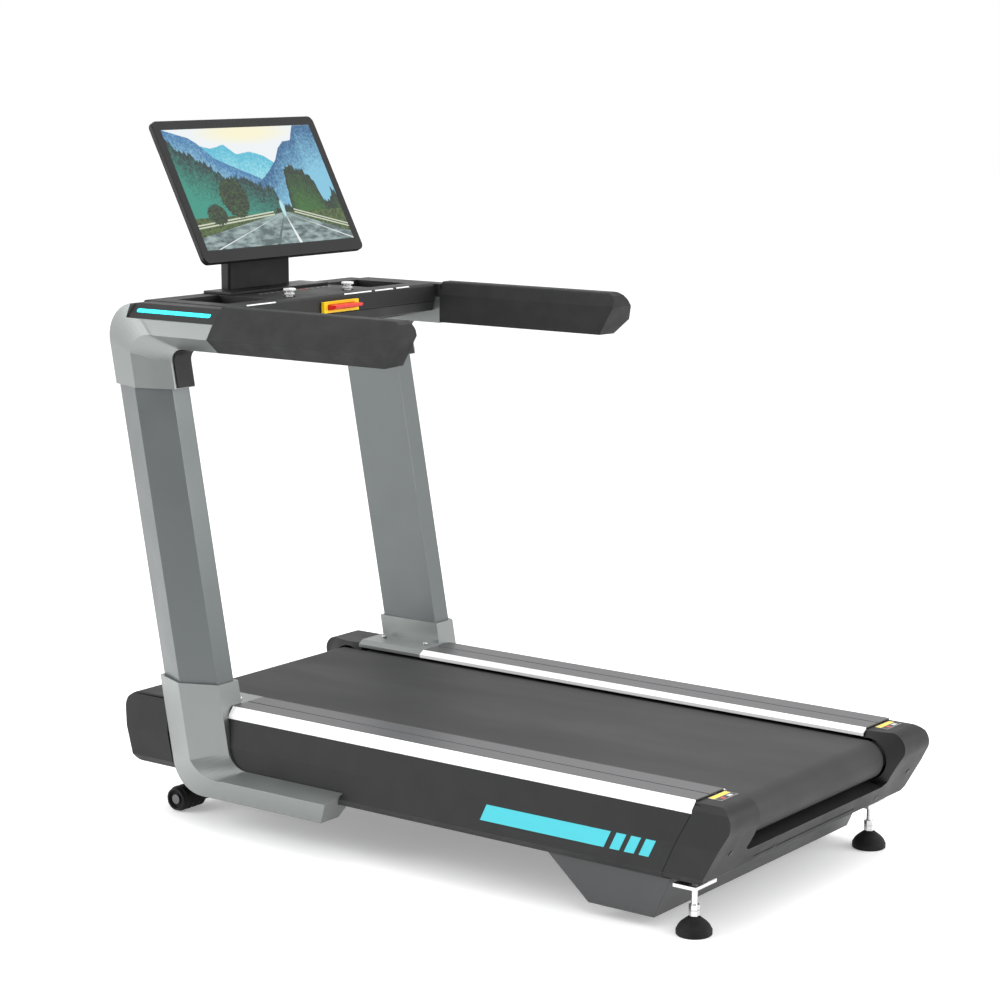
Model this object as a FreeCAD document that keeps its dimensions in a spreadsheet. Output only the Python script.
import FreeCAD, Part
import math
import os

import Sketcher
from FreeCAD import Placement, Rotation, Vector

# Treadmill. +Y is the walking direction (towards the console), +X the user's
# right and +Z up. The origin is on the floor, in the middle of the machine.

SIZES = {
    # Deck, across the machine (half widths measured from the centre plane)
    "belt_width": 594.0,
    "belt_thickness": 2.5,
    "belt_side_gap": 5.0,
    "rail_chamfer_width": 16.0,
    "rail_flat_width": 112.0,
    "rail_chamfer_drop": 10.0,
    "rail_edge_drop": 20.0,
    "rail_skin": 3.5,
    "rail_lip": 8.0,
    "rail_groove_width": 4.0,
    "rail_groove_depth": 1.5,
    "rail_groove_in": 57.0,
    "panel_bulge": 12.0,
    "panel_skin": 3.0,
    "panel_gap": 1.0,
    # Deck, along the machine
    "rail_rear": -803.0,
    "rail_length": 1340.0,
    "roller_behind": 12.0,
    "roller_ahead": 41.0,
    "frame_behind": 30.0,
    "frame_ahead": 89.0,
    # Deck, heights
    "rail_top": 317.0,
    "belt_sink": 24.5,
    "panel_crease": 221.0,
    "panel_edge": 149.0,
    "panel_bottom": 130.0,
    # Frame tubes
    "beam_inset": 43.0,
    "beam_width": 40.0,
    "beam_height": 80.0,
    "beam_wall": 3.0,
    "cushion_height": 13.0,
    "board_thickness": 22.0,
    "board_inset": 45.0,
    "leg_width": 20.0,
    "cross_height": 36.0,
    "cross_width": 50.0,
    "low_cross_height": 37.0,
    # Rollers and drive
    "roller_radius": 43.7,
    "roller_fit_gap": 0.3,
    "shaft_radius": 12.5,
    "axle_radius": 8.5,
    "running_gap": 0.05,
    "bearing_radius": 26.0,
    "bearing_flange": 34.0,
    "pulley_gap": 5.0,
    "pulley_width": 25.0,
    "roller_pulley_radius": 35.0,
    "motor_pulley_radius": 25.0,
    "drive_belt_thickness": 3.0,
    "motor_ahead": 197.0,
    "motor_height": 115.0,
    "motor_radius": 60.0,
    "motor_length": 230.0,
    "motor_offset": 70.0,
    "flywheel_radius": 55.0,
    "flywheel_width": 22.0,
    "motor_shaft_radius": 10.0,
    # Belly box under the rear of the deck
    "belly_half_out": 131.0,
    "belly_sheet": 2.0,
    "belly_floor": 30.0,
    "belly_top": 127.0,
    "belly_rear": 62.0,
    "belly_floor_rear": 106.0,
    "belly_floor_front": 281.0,
    "belly_front": 394.0,
    # Levelling feet
    "foot_across_out": 94.0,
    "foot_ahead": 25.0,
    "foot_pad_radius": 40.5,
    "foot_rim": 14.0,
    "foot_cone_top": 40.0,
    "stem_radius": 7.2,
    "stem_top": 156.0,
    "nut_radius": 12.5,
    "nut_height": 12.0,
    "foot_plate_low": 110.0,
    "foot_plate_thick": 8.0,
    # Lift frame and transport wheels
    "lift_pivot_behind": 100.0,
    "lift_pivot_height": 150.0,
    "lift_tube_radius": 20.0,
    "lift_pin_radius": 8.0,
    "lift_arm_inset": 44.0,
    "lift_arm_thick": 12.0,
    "wheel_radius": 32.0,
    "wheel_ahead": 231.0,
    "wheel_inner_out": 23.0,
    "wheel_width": 80.0,
    "wheel_groove": 2.5,
    "lug_radius": 60.0,
    "lug_lead_deg": 20.0,
    "lug_thick": 16.0,
    "lug_clearance": 5.0,
    "rod_radius": 11.0,
    "rod_pin_radius": 6.0,
    "rod_length": 260.0,
    "actuator_radius": 24.0,
    "actuator_length": 250.0,
    "gearbox_size": 84.0,
    # Foot castings and uprights
    "casting_inner_out": 97.0,
    "casting_corner_out": 168.0,
    "casting_ridge_out": 207.0,
    "collar_top": 373.0,
    "collar_depth": 195.0,
    "collar_rear": 15.0,
    "upright_lean": 0.181,
    "casting_floor": 81.0,
    "casting_foot_top": 167.0,
    "casting_foot_length": 332.0,
    "casting_toe_slope": 69.0,
    "casting_inner_radius": 52.0,
    "casting_outer_radius": 92.0,
    "foot_outer_corner_out": 163.0,
    "foot_upper_corner_out": 160.0,
    "flange_ahead": 1.0,
    "flange_thick": 8.0,
    "upright_inset": 6.0,
    "upright_wall": 3.0,
    "socket_depth": 60.0,
    "arm_bottom": 1090.0,
    # Upper brackets, grips and console
    "arm_under": 1187.0,
    "arm_top": 1256.0,
    "arm_ridge_height": 1222.0,
    "arm_ridge_out": 203.0,
    "arm_top_corner_out": 181.0,
    "arm_high_corner_out": 159.0,
    "bracket_inner_radius": 30.0,
    "bracket_outer_radius": 78.0,
    "bracket_growth": 6.0,
    "insert_gap": 0.3,
    "insert_thick": 4.0,
    "pod_height": 34.0,
    "pod_length": 290.0,
    "pod_inset": 38.0,
    "pod_ledge": 7.0,
    "grip_length": 553.0,
    "grip_top": 1296.0,
    "grip_end_slope": 42.0,
    "grip_wall": 8.0,
    "grip_radius": 26.0,
    "console_gap": 0.5,
    "console_rear": 13.0,
    "console_depth": 297.0,
    "console_top_height": 1292.0,
    "console_fascia": 1246.0,
    "console_bottom_height": 1192.0,
    "console_wall": 4.0,
    "tray_depth": 22.0,
    "tray_width": 150.0,
    "tray_length": 170.0,
    "tray_inset": 123.5,
    # Screen
    "neck_half": 116.0,
    "neck_thick": 33.0,
    "neck_ahead": 276.0,
    "neck_top": 1465.0,
    "screen_width": 607.0,
    "screen_height": 387.0,
    "screen_tilt_deg": 27.6,
    "screen_low_ahead": 179.6,
    "screen_low_height": 1380.7,
    "screen_shell": 11.0,
    "screen_glass": 3.0,
    "screen_radius": 18.0,
    "display_width": 558.0,
    "display_height": 329.0,
    "display_rise": 33.5,
    "screen_back_width": 420.0,
    "screen_back_height": 250.0,
    "screen_back_thick": 22.0,
    # Controls
    "toggle_across": 112.0,
    "toggle_ahead": 78.0,
    "toggle_radius": 16.0,
    "toggle_waist": 10.0,
    "toggle_height": 20.0,
    "toggle_pivot_depth": 12.0,
    "toggle_hole": 15.0,
    "stop_frame_half": 67.0,
    "stop_frame_low": 1249.0,
    "stop_frame_height": 28.0,
    "stop_frame_thick": 10.0,
    "stop_bar_half": 52.0,
    "stop_bar_height": 13.0,
    "stop_bar_reach": 38.0,
    "stop_gap": 0.6,
    # Rear and front covers
    "cover_inner_out": 33.0,
    "cover_throat_out": 6.0,
    "cover_crest_radius": 88.0,
    "cover_flare": 25.0,
    "cover_corner": 50.0,
    "cover_strip_gap": 15.5,
    "cover_outer_out": 161.0,
    "roller_clearance": 4.0,
    "cover_seam": 1.0,
}

doc = FreeCAD.newDocument("treadmill")
sheet = doc.addObject("Spreadsheet::Sheet", "sizes")
for row, (alias, number) in enumerate(SIZES.items(), start=1):
    sheet.set(f"A{row}", str(number))
    sheet.setAlias(f"A{row}", alias)
doc.recompute()


class Size:
    """A length as a spreadsheet expression, with its present value."""

    def __init__(self, text, value):
        self.text = text
        self.value = value

    def join(self, sign, other, value):
        return Size(f"({self.text} {sign} {other.text})", value)

    def __add__(self, other):
        other = as_size(other)
        return self.join("+", other, self.value + other.value)

    def __sub__(self, other):
        other = as_size(other)
        return self.join("-", other, self.value - other.value)

    def __mul__(self, other):
        other = as_size(other)
        return self.join("*", other, self.value * other.value)

    def __truediv__(self, other):
        other = as_size(other)
        return self.join("/", other, self.value / other.value)

    def __radd__(self, other):
        return as_size(other) + self

    def __rsub__(self, other):
        return as_size(other) - self

    def __rmul__(self, other):
        return as_size(other) * self

    def __neg__(self):
        return as_size(0) - self


def as_size(thing):
    if isinstance(thing, Size):
        return thing
    return Size(f"({float(thing)})", float(thing))


class Sizes:
    """Every alias of the spreadsheet as a Size."""

    def __init__(self):
        for alias in SIZES:
            setattr(self, alias, Size(f"sizes.{alias}", float(sheet.get(alias))))


s = Sizes()
NODES = []
SIDES = ((-1, "left"), (1, "right"))


def name_node(thing, label):
    thing.Label = label
    NODES.append(thing)
    return thing


def bind(thing, path, size):
    thing.setExpression(path, as_size(size).text)


def span(side, inner, outer):
    """Low end and length of a stretch from inner to outer on one side."""
    low = as_size(inner) if side > 0 else -as_size(outer)
    return low, as_size(outer) - as_size(inner)


def block(x, y, z, label=None):
    """A box between three (low, high) pairs."""
    box = doc.addObject("Part::Box", "block")
    for key, (low, _) in (("x", x), ("y", y), ("z", z)):
        bind(box, f"Placement.Base.{key}", low)
    bind(box, "Length", as_size(x[1]) - x[0])
    bind(box, "Width", as_size(y[1]) - y[0])
    bind(box, "Height", as_size(z[1]) - z[0])
    return name_node(box, label) if label else box


def mirrored(side, inner, outer):
    """The (low, high) pair in X of a stretch on one side."""
    if side > 0:
        return (as_size(inner), as_size(outer))
    return (-as_size(outer), -as_size(inner))


AXES = {"x": Rotation(Vector(0, 1, 0), 90), "y": Rotation(Vector(1, 0, 0), -90), "z": Rotation()}


def rod(axis, start, radius, length, label=None):
    """A round bar from a start point, along one axis."""
    bar = doc.addObject("Part::Cylinder", "rod")
    bar.Placement = Placement(Vector(), AXES[axis])
    for key, place in zip("xyz", start):
        bind(bar, f"Placement.Base.{key}", place)
    bind(bar, "Radius", radius)
    bind(bar, "Height", length)
    return name_node(bar, label) if label else bar


def cut(base, *tools, label=None):
    for tool in tools:
        result = doc.addObject("Part::Cut", "cut")
        result.Base = base
        result.Tool = tool
        base = result
    return name_node(base, label) if label else base


def fuse(*pieces, label=None):
    result = doc.addObject("Part::MultiFuse", "fuse")
    result.Shapes = list(pieces)
    result.Refine = True
    return name_node(result, label) if label else result


def group(pieces, label):
    result = doc.addObject("Part::Compound", "group")
    result.Links = list(pieces)
    return name_node(result, label)


def ring(axis, start, outer, inner, length, label=None):
    return cut(rod(axis, start, outer, length), rod(axis, start, inner, length), label=label)


PLANES = {"x": "YZ_Plane", "y": "XZ_Plane", "z": "XY_Plane"}


def new_body():
    return doc.addObject("PartDesign::Body", "body")


def new_sketch(body, axis, offset, shift=(0, 0)):
    """A sketch square to an axis; the XZ plane's own normal is -Y."""
    plane = next(item for item in body.Origin.OriginFeatures if item.Role == PLANES[axis])
    sketch = body.newObject("Sketcher::SketchObject", "sketch")
    sketch.AttachmentSupport = [(plane, "")]
    sketch.MapMode = "FlatFace"
    bind(sketch, "AttachmentOffset.Base.x", shift[0])
    bind(sketch, "AttachmentOffset.Base.y", shift[1])
    bind(sketch, "AttachmentOffset.Base.z", offset)
    return sketch


def draw(sketch, corners):
    """A closed outline whose corners are held at spreadsheet distances."""
    corners = [(as_size(across), as_size(up)) for across, up in corners]
    places = [Vector(across.value, up.value, 0) for across, up in corners]
    first = sketch.GeometryCount
    for index, place in enumerate(places):
        sketch.addGeometry(Part.LineSegment(place, places[(index + 1) % len(places)]), False)
    for index, (across, up) in enumerate(corners):
        line = first + index
        following = first + (index + 1) % len(corners)
        sketch.addConstraint(Sketcher.Constraint("Coincident", line, 2, following, 1))
        for kind, size in (("DistanceX", across), ("DistanceY", up)):
            number = sketch.addConstraint(
                Sketcher.Constraint(kind, -1, 1, line, 1, size.value))
            bind(sketch, f"Constraints[{number}]", size)
    return sketch


def sweep(body, kind, axis, low, length, outlines, shift=(0, 0)):
    """Pad or pocket a set of outlines from low, over length, along an axis."""
    low, length = as_size(low), as_size(length)
    flip = axis == "y"
    offset = -low if flip else low
    sketch = new_sketch(body, axis, offset, shift)
    for outline in outlines:
        draw(sketch, outline)
    feature = body.newObject(f"PartDesign::{kind}", kind.lower())
    feature.Profile = sketch
    bind(feature, "Length", length)
    # A pad runs along the sketch normal and a pocket against it.
    feature.Reversed = flip if kind == "Pad" else not flip
    return feature


def prism(axis, low, length, outline, label=None, holes=()):
    """A straight bar of one outline, with straight holes through it."""
    body = new_body()
    sweep(body, "Pad", axis, low, length, [outline])
    for hole in holes:
        sweep(body, "Pocket", axis, low, length, [hole])
    return name_node(body, label) if label else body


def turned(axis, centre, outline, label=None):
    """A turned piece: outline is (along, radius) about an axis through centre.

    For axis x the centre is (y, z); for axis z it is (x, y).
    """
    body = new_body()
    if axis == "x":
        plane, offset, shift = "z", centre[1], (0, centre[0])
        corners = outline
    else:
        plane, offset, shift = "y", -as_size(centre[1]), (centre[0], 0)
        corners = [(radius, along) for along, radius in outline]
    sketch = draw(new_sketch(body, plane, offset, shift), corners)
    feature = body.newObject("PartDesign::Revolution", "turn")
    feature.Profile = sketch
    feature.ReferenceAxis = (sketch, ["H_Axis" if axis == "x" else "V_Axis"])
    feature.Angle = 360
    return name_node(body, label) if label else body


def fillet(body, radius, pick):
    """Round the edges of the body that pick(edge) accepts."""
    doc.recompute()
    tip = body.Tip
    names = [f"Edge{i}" for i, edge in enumerate(tip.Shape.Edges, start=1) if pick(edge)]
    feature = body.newObject("PartDesign::Fillet", "fillet")
    feature.Base = (tip, names)
    bind(feature, "Radius", radius)


def runs_along(edge, axis):
    """True for a straight edge parallel to an axis."""
    if edge.Curve.TypeId != "Part::GeomLine":
        return False
    first, last = edge.Vertexes[0].Point, edge.Vertexes[-1].Point
    return abs(getattr((last - first).normalize(), axis)) > 0.999


def fixed(label, shape):
    """A Part::Feature for a shape that only lofts can make."""
    feature = doc.addObject("Part::Feature", "shape")
    feature.Shape = shape
    feature.Placement = Placement()
    return name_node(feature, label)


# Stations that several pieces share
rear = s.rail_rear
front = s.rail_rear + s.rail_length
belt_half = s.belt_width / 2
rail_in = belt_half + s.belt_side_gap
rail_in_top = rail_in + s.rail_chamfer_width
rail_out_top = rail_in_top + s.rail_flat_width
rail_out = rail_out_top + s.rail_chamfer_width
panel_out = rail_out + s.panel_bulge
beam_in = rail_in + s.beam_inset - 5
beam_out = beam_in + s.beam_width
# Half widths that follow the belt: each lies so far out from its edge
casting_inner = belt_half + s.casting_inner_out
casting_corner = belt_half + s.casting_corner_out
casting_ridge = belt_half + s.casting_ridge_out
foot_outer_corner = belt_half + s.foot_outer_corner_out
foot_upper_corner = belt_half + s.foot_upper_corner_out
arm_ridge = belt_half + s.arm_ridge_out
arm_top_corner = belt_half + s.arm_top_corner_out
arm_high_corner = belt_half + s.arm_high_corner_out
cover_inner = belt_half + s.cover_inner_out
cover_throat = belt_half + s.cover_throat_out
cover_outer = belt_half + s.cover_outer_out
belly_half = belt_half + s.belly_half_out
foot_across = belt_half + s.foot_across_out
wheel_inner = belt_half + s.wheel_inner_out
lift_arm_across = beam_in - s.lift_arm_inset
flange_length = s.collar_rear + s.collar_depth + s.flange_ahead
belt_top = s.rail_top - s.belt_sink
board_top = belt_top - s.belt_thickness
board_low = board_top - s.board_thickness
beam_top = board_low - s.cushion_height
beam_low = beam_top - s.beam_height
belt_in_radius = s.roller_radius + s.roller_fit_gap
belt_out_radius = belt_in_radius + s.belt_thickness
roller_height = board_top - belt_in_radius
belt_low = roller_height - belt_out_radius
strip_top = belt_low - s.cover_strip_gap
rear_roller_y = rear - s.roller_behind
front_roller_y = front + flange_length + s.roller_ahead


def rail_outline(side):
    """Section of a deck rail: a skin with a closed leg that stands on the beam."""
    skin, lip = s.rail_skin, s.rail_lip
    top = s.rail_top
    leg_out, leg_in = beam_out, beam_out - s.leg_width
    edge = top - s.rail_edge_drop
    outer = [
        (rail_in_top, top), (rail_out_top, top), (rail_out, edge), (rail_out, edge - lip),
        (rail_out - skin, edge - lip), (rail_out - skin, edge - 1),
        (rail_out_top - skin / 2, top - skin), (leg_out, top - skin), (leg_out, beam_top),
        (leg_in, beam_top), (leg_in, top - skin), (rail_in_top + skin, top - skin),
        (rail_in + skin, top - s.rail_chamfer_drop - 1), (rail_in + skin, edge + 2),
        (rail_in, edge + 2), (rail_in, top - s.rail_chamfer_drop),
    ]
    wall = s.rail_skin
    hollow = [(leg_in + wall, beam_top + wall), (leg_out - wall, beam_top + wall),
              (leg_out - wall, top - skin - wall), (leg_in + wall, top - skin - wall)]
    return [(side * x, z) for x, z in outer], [(side * x, z) for x, z in hollow]


def side_rail(side, label):
    outline, hollow = rail_outline(side)
    body = prism("y", rear, s.rail_length, outline, holes=[hollow])
    groove_in = rail_out_top - s.rail_groove_in
    groove_low = s.rail_top - s.rail_groove_depth
    groove = [(groove_in, groove_low), (groove_in + s.rail_groove_width, groove_low),
              (groove_in + s.rail_groove_width, s.rail_top + 1), (groove_in, s.rail_top + 1)]
    sweep(body, "Pocket", "y", rear, s.rail_length, [[(side * x, z) for x, z in groove]])
    low, length = span(side, beam_out - s.leg_width - 1, beam_out + 1)
    relief, ceiling = rear + s.bearing_radius, s.rail_top - s.rail_skin - 0.2
    cut_across(body, low, length, [(rear - 1, beam_top - 1), (relief, beam_top - 1),
                                   (relief, ceiling), (rear - 1, ceiling)])
    name_node(body, label)


# The side panels end on a line that follows the lean of the uprights.
lean_y = front - 16
lean_z = s.panel_crease - 15


def lean_at(height, gap=0):
    return lean_y + (as_size(height) - lean_z) * s.upright_lean - gap


def panel_outer(grow):
    """Outside of a side panel's section, moved out by grow."""
    top = s.rail_top - s.rail_edge_drop - s.rail_lip
    return [(rail_out + 1 + grow, top), (panel_out + grow, s.panel_crease),
            (panel_out - 3 + grow, s.panel_edge), (panel_out - 18 + grow, s.panel_bottom - grow)]


def side_panel(side, label):
    skin = s.panel_skin
    outside = panel_outer(0)
    inside = [(x - skin, z) for x, z in reversed(outside)]
    lip = rail_out - 30
    inside[0] = (panel_out - 20, s.panel_bottom + skin)
    outline = outside + [(lip, s.panel_bottom), (lip, s.panel_bottom + skin)] + inside
    start = rear - 5
    body = prism("y", start, lean_at(s.rail_top) - start, [(side * x, z) for x, z in outline])
    low, length = span(side, lip - 5, panel_out + 5)
    high, floor = s.rail_top + 5, s.panel_bottom - 5
    ahead = [(lean_at(floor, s.panel_gap), floor), (lean_at(high, s.panel_gap), high),
             (lean_at(high) + 80, high), (lean_at(high) + 80, floor)]
    behind = [(seam_at(high) + s.cover_seam, high), (seam_at(floor) + s.cover_seam, floor),
              (rear - 60, floor), (rear - 60, high)]
    for outline in (ahead, behind):
        cut_across(body, low, length, outline)
    name_node(body, label)


def cut_across(body, low, length, outline):
    """Pocket an outline drawn in Y and Z through a stretch of X."""
    sweep(body, "Pocket", "x", low, length, [outline])


def seam_at(height):
    """Slanted seam between the rear cover and the side panels."""
    return rear + (s.rail_top - s.rail_edge_drop - s.rail_lip - as_size(height)) * 0.48


def frame_beam(side, label):
    low, high = mirrored(side, beam_in, beam_out)
    y_low, y_high = rear - s.frame_behind, front + flange_length + s.frame_ahead
    wall = s.beam_wall
    tube = block((low, high), (y_low, y_high), (beam_low, beam_top))
    hole = block((low + wall, high - wall), (y_low, y_high), (beam_low + wall, beam_top - wall))
    x_low = low - 1
    across = s.beam_width + 2
    rear_bore = rod("x", (x_low, rear_roller_y, roller_height), s.bearing_radius, across)
    front_bore = rod("x", (x_low, front_roller_y, roller_height), s.axle_radius, across)
    cut(tube, hole, rear_bore, front_bore, label=label)


def cross_tubes():
    """Tubes between the beams inside the belt loop, and two more under the beams."""
    z_low = beam_top - s.cross_height - 4
    tubes = []
    for share in (0.22, 0.5, 0.8):
        y_low = rear + s.rail_length * share
        y = (y_low, y_low + s.cross_width)
        outer = block((-beam_in, beam_in), y, (z_low, z_low + s.cross_height))
        inner = block((-beam_in, beam_in), (y[0] + s.beam_wall, y[1] - s.beam_wall),
                      (z_low + s.beam_wall, z_low + s.cross_height - s.beam_wall))
        tubes.append(cut(outer, inner))
    for y_low in (rear + 5, rear + 780):
        y = (y_low, y_low + s.cross_width)
        z_low = beam_low - s.low_cross_height
        outer = block((-beam_out, beam_out), y, (z_low, beam_low))
        inner = block((-beam_out, beam_out), (y[0] + s.beam_wall, y[1] - s.beam_wall),
                      (z_low + s.beam_wall, beam_low - s.beam_wall))
        tubes.append(cut(outer, inner))
    tubes.append(block((-30, 30), (rear + 785, rear + 825),
                       (lug_z + s.actuator_radius, beam_low - s.low_cross_height)))
    group(tubes, "cross_tubes")


def deck_board():
    half = beam_out - s.leg_width - 4
    y = (rear + s.board_inset, front + flange_length - 21)
    block((-half, half), y, (board_low, board_top), "deck_board")
    pads = []
    for side, _ in SIDES:
        for share in (0.04, 0.28, 0.52, 0.76, 1.0):
            y_low = y[0] + (s.rail_length - 60) * share + 60
            pads.append(block(mirrored(side, beam_in + 1, half - 1), (y_low, y_low + 40),
                              (beam_top, board_low)))
    group(pads, "deck_cushions")


def running_belt():
    """The belt as one closed loop round both rollers."""
    body = new_body()
    sketch = new_sketch(body, "x", -belt_half)
    for radius in (belt_out_radius, belt_in_radius):
        loop(sketch, radius)
    feature = body.newObject("PartDesign::Pad", "pad")
    feature.Profile = sketch
    bind(feature, "Length", s.belt_width)
    name_node(body, "running_belt")


def loop(sketch, radius):
    """A stadium outline round both roller axes."""
    y_low, y_high = rear_roller_y.value, front_roller_y.value
    z, r = roller_height.value, radius.value
    first = sketch.GeometryCount
    half = math.pi / 2
    sketch.addGeometry(Part.LineSegment(Vector(y_low, z + r), Vector(y_high, z + r)), False)
    sketch.addGeometry(Part.ArcOfCircle(Part.Circle(Vector(y_high, z), Vector(0, 0, 1), r),
                                        -half, half), False)
    sketch.addGeometry(Part.LineSegment(Vector(y_high, z - r), Vector(y_low, z - r)), False)
    sketch.addGeometry(Part.ArcOfCircle(Part.Circle(Vector(y_low, z), Vector(0, 0, 1), r),
                                        half, 3 * half), False)
    top, right, low, left = range(first, first + 4)
    for one, two in (((top, 2), (right, 2)), ((low, 1), (right, 1)),
                     ((low, 2), (left, 2)), ((top, 1), (left, 1))):
        sketch.addConstraint(Sketcher.Constraint("Tangent", *one, *two))
    for kind, point, size in (("DistanceX", (left, 3), rear_roller_y),
                              ("DistanceY", (left, 3), roller_height),
                              ("DistanceX", (right, 3), front_roller_y),
                              ("DistanceY", (right, 3), roller_height)):
        number = sketch.addConstraint(Sketcher.Constraint(kind, -1, 1, *point, size.value))
        bind(sketch, f"Constraints[{number}]", size)
    number = sketch.addConstraint(Sketcher.Constraint("Radius", left, r))
    bind(sketch, f"Constraints[{number}]", radius)


def rear_roller():
    """Driven roller with its shaft, bearings and pulley."""
    drum, shaft = belt_half + 3, s.shaft_radius
    pulley_in = beam_out + s.pulley_gap
    pulley_out = pulley_in + s.pulley_width
    turned("x", (rear_roller_y, roller_height), [
        (-beam_out, 0), (-beam_out, shaft), (-drum, shaft), (-drum, s.roller_radius),
        (drum, s.roller_radius), (drum, shaft), (pulley_out, shaft), (pulley_out, 0)],
        "rear_roller")
    ring("x", (pulley_in, rear_roller_y, roller_height), s.roller_pulley_radius, shaft,
         s.pulley_width, "roller_pulley")
    bearings = []
    for side, _ in SIDES:
        low, high = mirrored(side, beam_in - 4, beam_out)
        flange = mirrored(side, beam_in - 4, beam_in)
        core = rod("x", (low, rear_roller_y, roller_height), s.bearing_radius, high - low)
        rim = rod("x", (flange[0], rear_roller_y, roller_height), s.bearing_flange,
                  flange[1] - flange[0])
        bore = rod("x", (low, rear_roller_y, roller_height), shaft + s.running_gap, high - low)
        bearings.append(cut(fuse(core, rim), bore))
    group(bearings, "roller_bearings")


def front_roller():
    """Idle roller that turns on a fixed axle."""
    drum = belt_half + 3
    ring("x", (-drum, front_roller_y, roller_height), s.roller_radius,
         s.axle_radius + s.running_gap, drum * 2, "front_roller")
    rod("x", (-beam_out, front_roller_y, roller_height), s.axle_radius, beam_out * 2,
        "front_axle")


motor_y = rear + s.motor_ahead
pulley_plane = beam_out + s.pulley_gap


def motor():
    """Drive motor lying across the machine, with its shaft through the casing."""
    x_low, x_high = s.motor_offset, s.motor_offset + s.motor_length
    radius, shaft = s.motor_radius, s.motor_shaft_radius
    cut(turned("x", (motor_y, s.motor_height), [
        (x_low, 0), (x_low, radius - 8), (x_low + 8, radius), (x_high - 8, radius),
        (x_high, radius - 8), (x_high, 0)]),
        rod("x", (x_low, motor_y, s.motor_height), shaft + s.running_gap, s.motor_length),
        label="motor_casing")
    wheel_low = x_low - s.flywheel_width - 8
    shaft_end = pulley_plane + s.pulley_width
    core = rod("x", (wheel_low, motor_y, s.motor_height), shaft, shaft_end - wheel_low)
    ring("x", (wheel_low, motor_y, s.motor_height), s.flywheel_radius, shaft,
         s.flywheel_width, "flywheel")
    pulley = rod("x", (pulley_plane, motor_y, s.motor_height), s.motor_pulley_radius,
                 s.pulley_width)
    fuse(core, pulley, label="motor_shaft")
    saddles = []
    for offset in (25, s.motor_length - 45):
        low = x_low + offset
        plate = block((low, low + 20), (motor_y - 50, motor_y + 50),
                      (s.belly_floor + s.belly_sheet, s.motor_height - 25))
        saddles.append(cut(plate, rod("x", (low, motor_y, s.motor_height), radius, 20)))
    return saddles


def drive_belt():
    """Ribbed belt round the motor pulley and the roller pulley, as a closed loop."""
    gap, thick = s.roller_fit_gap.value, s.drive_belt_thickness.value
    centres = ((motor_y.value, s.motor_height.value), (rear_roller_y.value, roller_height.value))
    radii = (s.motor_pulley_radius.value + gap, s.roller_pulley_radius.value + gap)
    run = Vector(s.pulley_width.value - 4, 0, 0)
    outer, inner = (Part.Face(belt_wire(centres, [r + grow for r in radii])).extrude(run)
                    for grow in (thick, 0))
    fixed("drive_belt", outer.cut(inner))


def belt_wire(centres, radii):
    """Open belt round two circles in the YZ plane, as a closed wire."""
    (y_one, z_one), (y_two, z_two) = centres
    distance = math.hypot(y_two - y_one, z_two - z_one)
    heading = math.atan2(z_two - z_one, y_two - y_one)
    tilt = math.acos((radii[0] - radii[1]) / distance)

    def at(centre, radius, angle):
        return Vector(pulley_plane.value + 2, centre[0] + radius * math.cos(angle),
                      centre[1] + radius * math.sin(angle))

    one, two = centres
    high, low = heading + tilt, heading - tilt
    one_mid, two_mid = heading + math.pi, heading
    return Part.Wire([
        Part.LineSegment(at(one, radii[0], high), at(two, radii[1], high)).toShape(),
        Part.Arc(at(two, radii[1], high), at(two, radii[1], two_mid),
                 at(two, radii[1], low)).toShape(),
        Part.LineSegment(at(two, radii[1], low), at(one, radii[0], low)).toShape(),
        Part.Arc(at(one, radii[0], low), at(one, radii[0], one_mid),
                 at(one, radii[0], high)).toShape()])


def belly_box(saddles):
    """Open sheet-metal trough that carries the motor and the motor driver."""
    sheet_thick, half = s.belly_sheet, belly_half
    outer = [(rear + s.belly_rear, s.belly_top), (rear + s.belly_floor_rear, s.belly_floor),
             (rear + s.belly_floor_front, s.belly_floor), (rear + s.belly_front, s.belly_top)]
    inner = [(outer[0][0] + sheet_thick, s.belly_top + 1),
             (outer[1][0] + 1, s.belly_floor + sheet_thick),
             (outer[2][0] - 1, s.belly_floor + sheet_thick),
             (outer[3][0] - sheet_thick, s.belly_top + 1)]
    body = prism("x", -half, half * 2, outer)
    cut_across(body, -(half - sheet_thick), (half - sheet_thick) * 2, inner)
    name_node(body, "belly_box")
    straps = list(saddles)
    for side, _ in SIDES:
        for y_low in (rear + 112, rear + 262):
            straps.append(block(mirrored(side, beam_in + 8, beam_in + 28), (y_low, y_low + 14),
                                (s.belly_floor + sheet_thick, beam_low)))
    group(straps, "belly_supports")
    block((20 - beam_in, -60), (rear + 135, rear + 265), (s.belly_floor + sheet_thick, 112),
          "motor_driver")


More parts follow.
